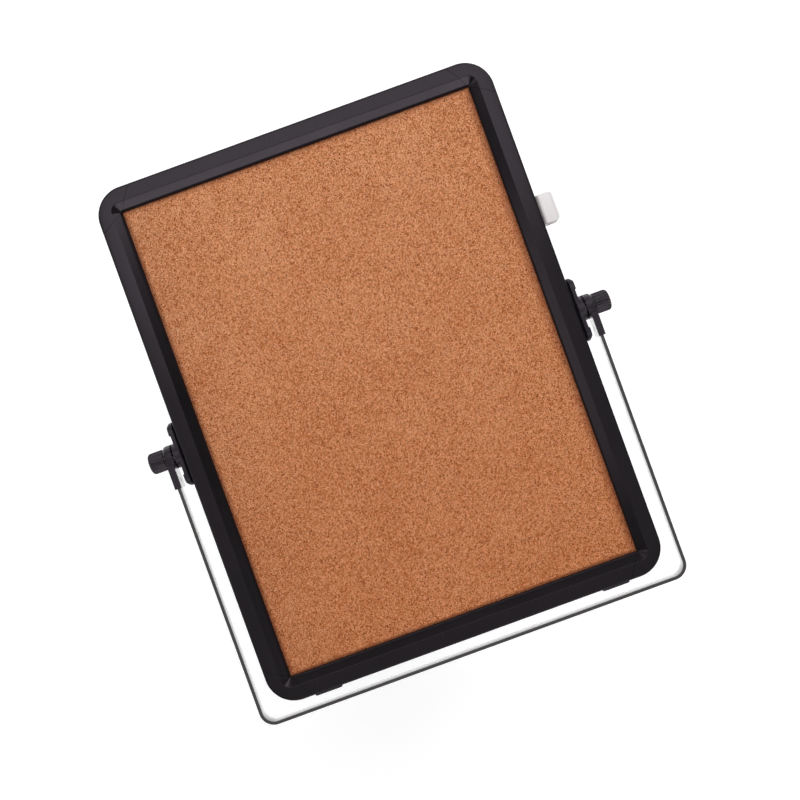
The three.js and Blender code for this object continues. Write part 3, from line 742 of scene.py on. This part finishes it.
def knob_surface():
    """Radius of the profile less depth x (1 - ((1 + cos(24 angle)) / 2)^2), which leaves narrow
    ribs between wide grooves, faded out at the ends."""
    crown_start = KNOB_END - KNOB_ROUND
    rim = arc((KNOB_RADIUS - RIM, KNOB_START + RIM), RIM, -90, 0, 4)
    height = np.linspace(KNOB_START + SIDE_START, crown_start, 8)
    side = np.column_stack([np.full(8, KNOB_RADIUS), height])
    crown = arc((KNOB_RADIUS - KNOB_ROUND, crown_start), KNOB_ROUND, 9, 90, 12)
    seat = crown_start - SEAT_DEPTH
    hollow = [[0, crown_start], [NUT_SEAT, crown_start], [NUT_SEAT, seat], [KNOB_BORE, seat]]
    foot = [[KNOB_BORE, KNOB_START]]
    profile = np.vstack([foot, rim, side, crown, [[0, KNOB_END]], hollow, foot])

    def groove(radius, place, angle):
        dip = RIB_DEPTH * (1 - ((1 + np.cos(RIB_COUNT * angle)) / 2) ** 2)
        fade = smooth(radius, KNOB_RADIUS - FADE[0], KNOB_RADIUS - FADE[1])
        return radius - dip * fade, place

    return turned(profile, RIB_COUNT * 12, groove)


make_pair("ribbed", "knob", knob_surface(), knob_plastic, 40)

# %% Washers
nylon_finish, tree, shader, place = new_material("nylon")
mould = use(tree, grain_group, place, Size=0.2)
shade = blend(tree, mould["Cloud"], (0.66, 0.65, 0.61), (0.73, 0.72, 0.69))
dress(shader, shade, spread(tree, mould["Height"], 0.3, 0.7, 0.4, 0.5), mould["Height"], 0.004)
WASHER_HOLE, WASHER_RADIUS = 2.3, 4.0


def washer_surface():
    """A flat ring with rounded edges, as a closed profile turned about the pivot."""
    start, end = outward("washer_right")
    middle, half = (start + end) / 2, (end - start) / 2
    inner = arc((WASHER_HOLE + half, middle), half, 270, 90, 6)
    outer = arc((WASHER_RADIUS - half, middle), half, 90, -90, 6)
    return turned(np.vstack([inner, outer]), 64, closed=True)


make_pair("turned", "washer", washer_surface(), nylon_finish)

# %% [markdown]
# ## Base plates and arm sockets
#
# These two mouldings carry the toothed discs. Their cut-outs, teeth and countersinks are all in
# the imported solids, and drawing them again would only risk a mismatch. So a copy of each node is
# merged, its flat triangles are joined, and a narrow bevel rounds the edges, as the mould would.
# Each edge has a weight for the bevel's width, so the teeth stay crisp. Where the plate meets the
# frame its outline is drawn in first, which leaves the dark groove between them.

# %% Softened copies
EDGE_WIDTH, CRISP_WIDTH, FLAT_ANGLE, EDGE_ANGLE = 0.22, 0.08, 0.6, 30
TOOTH_RANGE, SPINE_HALF, OUTLINE_REACH = (4.9, 6.9), 12.35, 5.7
GROOVE_WIDTH, GROOVE_DEPTH, ON_PLANE, CUT_GAP = 1.5, 2.2, 0.02, 1e-6


def from_side(points):
    """Points in metres as columns: mm out from the frame's side, up and forward."""
    local = (np.array(points) - PIVOT) / MM
    local[:, 0] = abs(local[:, 0]) - HALF_WIDTH
    return local


def cut_groove(shape, side):
    """Cuts a loop round the plate at the groove's width, then draws the outline of its back in
    towards its spine, a line of 2 x SPINE_HALF, by the groove's depth."""
    place = PIVOT + [SIGN[side] * (HALF_WIDTH + GROOVE_WIDTH) * MM, 0, 0]
    geometry = [*shape.verts, *shape.edges, *shape.faces]
    cut = {"plane_co": Vector(place), "plane_no": (1, 0, 0), "dist": CUT_GAP}
    bmesh.ops.bisect_plane(shape, geom=geometry, **cut)
    out, up, forward = from_side([vertex.co for vertex in shape.verts]).T
    beyond = np.sign(up) * np.maximum(abs(up) - SPINE_HALF, 0)
    reach = np.hypot(beyond, forward)
    moved = (abs(out) < ON_PLANE) & (reach > OUTLINE_REACH)
    share = np.where(moved, -GROOVE_DEPTH / np.maximum(reach, 1), 0) * MM
    for vertex, shift_up, shift_forward in zip(shape.verts, share * beyond, share * forward):
        vertex.co += Vector((0, shift_up, shift_forward))


def softened(node, body, finish, groove_side=None):
    """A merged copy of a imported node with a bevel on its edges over 30 degrees."""
    mesh = frame["nodes"][node].data.copy()
    mesh.name = f"soft_{node}"
    shape = merged(mesh, SAME_CORNER)
    bmesh.ops.dissolve_degenerate(shape, edges=shape.edges, dist=SAME_CORNER)
    flat = np.radians(FLAT_ANGLE)
    bmesh.ops.dissolve_limit(shape, angle_limit=flat, verts=shape.verts, edges=shape.edges)
    if groove_side:
        cut_groove(shape, groove_side)
    out = from_side([(edge.verts[0].co + edge.verts[1].co) / 2 for edge in shape.edges])[:, 0]
    crisp = (out < GROOVE_WIDTH + ON_PLANE) | (out > TOOTH_RANGE[0]) & (out < TOOTH_RANGE[1])
    turn = np.array([edge.calc_face_angle(0) for edge in shape.edges])
    weights = np.where(crisp, CRISP_WIDTH / EDGE_WIDTH, 1) * (turn > np.radians(EDGE_ANGLE))
    weight = shape.edges.layers.float.new("bevel_weight_edge")
    for edge, value in zip(shape.edges, weights):
        edge[weight] = value
    piece = settle(mesh.name, mesh, shape, body, finish, node, EDGE_ANGLE)
    bevel = piece.modifiers.new("rounded edges", "BEVEL")
    bevel.width = EDGE_WIDTH * MM
    bevel.segments = 3
    bevel.limit_method = "WEIGHT"
    bevel.use_clamp_overlap = True
    bevel.harden_normals = True


for side in SIGN:
    softened(f"base_plate_{side}", "board", hinge_plastic, side)
    softened(f"arm_socket_{side}", "stand", socket_plastic)

# %% [markdown]
# ## Screws
#
# Two countersunk screws hold each base plate. The head's face is a fine polar grid, and the cross
# is pressed into it by lowering every point that lies inside the cross, so no boolean is needed.


# %% Bright metal
def bright_metal(name, colour, roughness):
    """Turned metal: fine rings of brushing across the axis, and a little dullness from handling."""
    material, tree, shader, place = new_material(name)
    sockets = {"Vector": place, "Scale": (12.0, 1.0, 1.0)}
    brushing = noise(tree, add(tree, "Mapping", sockets)[0], 0.5, 3.0)
    worn = use(tree, marks_group, place, Amount=0.7)
    dark = tuple(0.72 * part for part in colour)
    shade = blend(tree, spread(tree, brushing, 0.3, 0.7), dark, colour)
    rough = spread(tree, worn["Dull"], 0.0, 1.0, roughness, roughness + 0.15)
    dress(shader, shade, rough, brushing, 0.004)
    feed(shader, {"Metallic": 1.0})
    print(f"{name}: roughness from {roughness}")
    return material


bare_steel = bright_metal("zinc-plated steel", (0.56, 0.56, 0.58), 0.28)
brass_finish = bright_metal("brass", (0.60, 0.40, 0.16), 0.26)

# %% Screws
SCREW_HEAD, SCREW_SHANK, HEAD_LENGTH, HEAD_EDGE = 2.3, 1.1, 1.2, 0.12
CROSS_WIDTH, CROSS_LENGTH, CROSS_DEPTH, WALL_SLOPE, END_SLOPE = 0.5, 2.6, 0.7, 0.05, 0.2


def screw_surface(node):
    """Turned screw. On the head's face, a point at (a, b) is lowered by the cross's depth where the
    smaller of |a|, |b| is under half its width and the larger under half its length."""
    tip, top = outward(node)
    face = np.column_stack([np.linspace(0, SCREW_HEAD - HEAD_EDGE, 30), np.full(30, top)])
    edge = arc((SCREW_HEAD - HEAD_EDGE, top - HEAD_EDGE), HEAD_EDGE, 80, 0, 4)
    rest = [[SCREW_SHANK, top - HEAD_LENGTH], [SCREW_SHANK, tip + SCREW_SHANK]]
    rest += [[SCREW_SHANK / 2, tip], [0, tip]]

    def cross(radius, place, angle):
        a, b = abs(radius * np.cos(angle)), abs(radius * np.sin(angle))
        wide, long = CROSS_WIDTH / 2, CROSS_LENGTH / 2
        narrow = 1 - smooth(np.minimum(a, b), wide - WALL_SLOPE, wide + WALL_SLOPE)
        short = 1 - smooth(np.maximum(a, b), long - END_SLOPE, long + WALL_SLOPE)
        on_face = place > top - 0.01
        return radius, place - CROSS_DEPTH * narrow * short * on_face

    return turned(np.vstack([face, edge, rest]), 96, cross)


for side in SIGN:
    for level in ("upper", "lower"):
        node = f"base_screw_{level}_{side}"
        points, faces = on_side(screw_surface(f"base_screw_{level}_right"), side)
        points[:, 1] += extent(node)[:, 1].sum() / 2
        make_piece(f"turned_{node}", (points, faces), "board", bare_steel, node, 50)

# %% [markdown]
# ## Foot pads
#
# Two rubber pads under the bottom rail keep the board from sliding. Each is a low block: rounded
# rectangles stacked away from the rail, the last few drawn in along a quarter circle.

# %% Rubber and pads
rubber_finish, tree, shader, place = new_material("foot rubber")
mould = use(tree, grain_group, place, Size=0.45)
worn = use(tree, marks_group, place, Amount=1.0)
shade = blend(tree, worn["Dull"], (0.019, 0.018, 0.019), (0.032, 0.031, 0.031))
dress(shader, shade, spread(tree, mould["Height"], 0.3, 0.7, 0.62, 0.78), mould["Height"], 0.03)
PAD_EDGE, PAD_CORNER = 0.25, 1.5


def pad_surface(node):
    """Rounded rectangles in x and z, stacked down y, drawn in by r (1 - cos t) at the last ones."""
    low, high = extent(node)
    width, _, depth = high - low
    turn = np.linspace(0, np.pi / 2, 6)
    levels = [high[1], *(low[1] + PAD_EDGE * (1 - np.sin(turn)))]
    insets = [0, *(PAD_EDGE * (1 - np.cos(turn)))]
    rings = []
    for level, drawn_in in zip(levels, insets):
        size = (width - 2 * drawn_in, depth - 2 * drawn_in)
        x, z = rounded_rectangle(*size, PAD_CORNER - drawn_in).T
        rings.append(np.column_stack([x + (low[0] + high[0]) / 2, np.full(len(x), level), z]))
    return loft(np.array(rings))


for side in SIGN:
    node = f"foot_pad_{side}"
    make_piece(f"rubber_{node}", pad_surface(node), "board", rubber_finish, node)

# %% [markdown]
# ## The pen loop
#
# A short loop of milky plastic stands out of the right rail. Its ring runs round z and x, and it is
# cut off round at its two outer corners. Two numbers find a point of it: the way round the ring,
# and the way round the thin section of its wall, out along the outside and back along the inside.

# %% Milky plastic and the loop
milky, tree, shader, place = new_material("milky plastic")
cloudy = noise(tree, place, 6.0, 3.0)
shade = blend(tree, spread(tree, cloudy, 0.35, 0.65), (0.985, 0.930, 0.935), (1.000, 0.960, 0.965))
rough = spread(tree, cloudy, 0.3, 0.7, 0.28, 0.4)
dress(shader, shade, rough, noise(tree, place, 1.2), 0.01)
feed(shader, {"Transmission Weight": 0.2, "IOR": 1.47})
LOOP_ROUND, LOOP_WALL, WALL_EDGE, HALF_WAY = 2.5, 0.9, 0.35, 1.0


def loop_surface():
    """A grid round the ring and round the wall's section. The section is a stadium: its long way
    runs along y and its short way is the wall. y stops at L/2 near the rail, and further out at
    L/2 - R + sqrt(R^2 - e^2), where e is how far x has gone past the start of the rounding."""
    low, high = extent("pen_loop")
    middle, size = (low + high) / 2, high - low
    outer = rounded_rectangle(size[0], size[2], LOOP_ROUND, 10)
    wall = rounded_rectangle(LOOP_WALL, 2 * HALF_WAY, WALL_EDGE, 5)
    depth, away = wall[:, 0] - LOOP_WALL / 2, abs(wall[:, 1])
    straight = away < HALF_WAY - WALL_EDGE
    way = np.where(straight, wall[:, 1], np.sign(wall[:, 1]))
    section = outer[:, None, :] + outside_of(outer)[:, None, :] * depth[None, :, None]
    x = section[..., 0] + middle[0]
    past = np.clip(x - (high[0] - LOOP_ROUND), 0, LOOP_ROUND)
    stop = size[1] / 2 - LOOP_ROUND + np.sqrt(LOOP_ROUND**2 - past**2)
    y = middle[1] + way * (stop - np.where(straight, 0, HALF_WAY - away))
    points = np.stack([x, y, section[..., 1] + middle[2]], -1)
    return points.reshape(-1, 3), quads(len(outer), len(wall), True, True)


make_piece("milky_pen_loop", loop_surface(), "board", milky, "pen_loop", 50)

# %% [markdown]
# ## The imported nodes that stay
#
# The white steel sheet, the core, the pins, studs and inserts and the foam pad have simple shapes
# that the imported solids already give, so they only get finishes. The back is enamelled steel: very
# even, glossy, with a faint orange peel and the ghost of wiped marks.

# %% Enamel, core and foam
enamel, tree, shader, place = new_material("white enamel")
worn = use(tree, marks_group, place, Amount=0.8)
shade = blend(tree, worn["Dull"], (0.86, 0.87, 0.88), (0.80, 0.81, 0.83))
rough = spread(tree, worn["Dull"], 0.0, 1.0, 0.10, 0.20)
dress(shader, shade, rough, noise(tree, place, 2.2, 2.0), 0.012)
feed(shader, {"Coat Weight": 0.5, "Coat Roughness": 0.06})


def dull_cells(name, size, middle, wall, roughness, depth):
    """A dull material of small cells whose colour changes towards their walls."""
    material, tree, shader, place = new_material(name)
    cells = grains(tree, place, size)["Distance"]
    rough = spread(tree, cells, 0, 1, roughness, 0.95)
    dress(shader, blend(tree, cells, middle, wall), rough, cells, depth)
    return material


fibre = dull_cells("fibre core", 0.8, (0.45, 0.30, 0.16), (0.28, 0.17, 0.08), 0.8, 0.1)
foam = dull_cells("foam tape", 0.35, (0.78, 0.78, 0.76), (0.6, 0.6, 0.58), 0.85, 0.08)
kept = {"dry_erase_sheet": enamel, "core_board": fibre, "pen_loop_pad": foam}
for side in SIGN:
    kept |= {f"nut_insert_{side}": brass_finish, f"stud_{side}": bare_steel}
    kept |= {f"socket_pin_{side}": bare_steel}
for node, finish in kept.items():
    for material_slot in frame["nodes"][node].material_slots:
        material_slot.material = finish
print("nodes kept:", ", ".join(sorted(kept)))

# %% [markdown]
# ## Floor, backdrop and light
#
# The board is shown on plain white. The floor is a wide pale disc, as far below the board as the
# stand reaches when it hangs straight down, so no pose dips into it, and it keeps a soft shadow.
# To the camera, and to anything glossy or clear, the floor and the world beside it glow up to
# white, so the light on the board can stay plain.

# %% Floor
FLOOR_DROP, FLOOR_RADIUS, PALE = -0.152, 4.0, (0.86, 0.86, 0.86, 1.0)
LIFT, FAR_LIFT, MIRRORED_LIFT = 0.48, 0.95, 1.0
WHITE = (1, 1, 1, 1)


def floor_disc(rings=24, steps=96):
    """Rings of points whose radius grows with the square of the ring's number."""
    radius = FLOOR_RADIUS * (np.arange(rings) / (rings - 1))[:, None] ** 2
    angle = np.linspace(0, 2 * np.pi, steps, endpoint=False)[None, :]
    x, y = radius * np.cos(angle), radius * np.sin(angle)
    points = np.stack([x, y, np.full_like(x, FLOOR_DROP)], -1).reshape(-1, 3)
    return points.tolist(), [], quads(rings, steps)


def floor_glow(tree):
    """Strength of the floor's own light: for the camera it grows with the distance from the middle,
    as the lamps' light falls off; glossy and clear things see a higher level; 0 for the rest."""
    place = add(tree, "TexCoord")["Object"]
    away = add(tree, "VectorMath", {0: place}, operation="LENGTH")["Value"]
    path = add(tree, "LightPath")
    lift = spread(tree, away, 0.5, 2.2, LIFT, FAR_LIFT)
    seen = calc(tree, "MULTIPLY", path["Is Camera Ray"], lift)
    mirrored = calc(tree, "MAXIMUM", path["Is Glossy Ray"], path["Is Transmission Ray"])
    return calc(tree, "MULTIPLY_ADD", mirrored, MIRRORED_LIFT, seen)


floor_finish = bpy.data.materials.new("pale floor")
floor_finish.use_nodes = True
tree = floor_finish.node_tree
tree.nodes.clear()
matt = add(tree, "BsdfDiffuse", {"Color": PALE})[0]
glow = add(tree, "Emission", {"Color": WHITE, "Strength": floor_glow(tree)})[0]
both = add(tree, "AddShader", {0: matt, 1: glow})[0]
clear = add(tree, "BsdfTransparent")[0]
under = add(tree, "NewGeometry")["Backfacing"]
one_way = add(tree, "MixShader", {0: under, 1: both, 2: clear})[0]
add(tree, "OutputMaterial", {"Surface": one_way})

floor_mesh = bpy.data.meshes.new("floor")
floor_mesh.from_pydata(*floor_disc())
shape = merged(floor_mesh, SAME_POINT)
shape.normal_update()
if sum(face.normal.z for face in shape.faces) < 0:
    bmesh.ops.reverse_faces(shape, faces=shape.faces)
shape.to_mesh(floor_mesh)
shape.free()
floor_mesh.materials.append(floor_finish)
floor = new_object("floor", floor_mesh)
print("floor:", len(floor_mesh.polygons), "faces at", FLOOR_DROP, "m")

# %% [markdown]
# The world is grey at the horizon, dark above it and pale at the top, like a studio with grey
# walls, a dark roof and one wide panel overhead. A plain white world would lay a grey veil over
# every black surface that faces up.

# %% World
HORIZON, ROOF, CEILING = 0.34, 0.03, 0.62
world = bpy.data.worlds.new("studio")
world.use_nodes = True
bpy.context.scene.world = world
tree = world.node_tree
tree.nodes.clear()
direction = add(tree, "TexCoord")["Generated"]
height = add(tree, "SeparateXYZ", {"Vector": direction})["Z"]
low_part = spread(tree, height, 0.04, 0.34, HORIZON, ROOF)
level = calc(tree, "MAXIMUM", low_part, spread(tree, height, 0.75, 0.93, 0.0, CEILING))
level = calc(tree, "MAXIMUM", level, add(tree, "LightPath")["Is Camera Ray"])
sky = add(tree, "Background", {"Color": WHITE, "Strength": level})[0]
add(tree, "OutputWorld", {"Surface": sky})
print("world: horizon", HORIZON, "roof", ROOF, "ceiling", CEILING)

# %% [markdown]
# Eight soft lights do the rest. What matters on black plastic isn't how bright they are but where
# they mirror. One over the board's upper end lightens the top of the frame and leaves the bottom
# dark, a card in front lights the top bevel, and two low ones behind rim the knobs and the top
# edge. The walls at the left and right light the bevels across from them, and two lights at the
# back catch the rounded corners. Each is set by how bright its face is, as a reflection shows it.

# %% Lights
# Name, place, size and brightness, which times pi x area is the power. All face the origin.
SOFTBOXES = (
    ("overhead", (0.0, 0.33, 0.70), (0.74, 0.38), 1.90),
    ("front card", (0.0, -2.70, 2.30), (2.85, 0.84), 4.55),
    ("back card", (0.0, 1.60, 0.20), (1.60, 0.24), 2.30),
    ("back strip", (0.0, 0.37, 0.25), (1.20, 0.15), 0.33),
    ("left wall", (-1.35, 0.0, 0.95), (0.60, 1.00), 1.55),
    ("right wall", (1.35, -0.45, 1.00), (0.60, 0.60), 0.53),
    ("back left", (-1.05, 0.80, 0.95), (0.55, 0.55), 1.30),
    ("back right", (1.05, 0.80, 0.95), (0.55, 0.55), 6.60),
)
for name, place, size, brightness in SOFTBOXES:
    light = bpy.data.lights.new(name, "AREA")
    light.shape = "RECTANGLE"
    light.size, light.size_y = size
    light.energy = brightness * np.pi * size[0] * size[1]
    lamp = new_object(name, light)
    lamp.location = place
    lamp.rotation_mode = "QUATERNION"
    lamp.rotation_quaternion = (Vector() - Vector(place)).to_track_quat("-Z", "Y")
    lamp.visible_camera = False
    print(f"{name}: brightness {brightness}")
bpy.context.scene.view_settings.view_transform = "Standard"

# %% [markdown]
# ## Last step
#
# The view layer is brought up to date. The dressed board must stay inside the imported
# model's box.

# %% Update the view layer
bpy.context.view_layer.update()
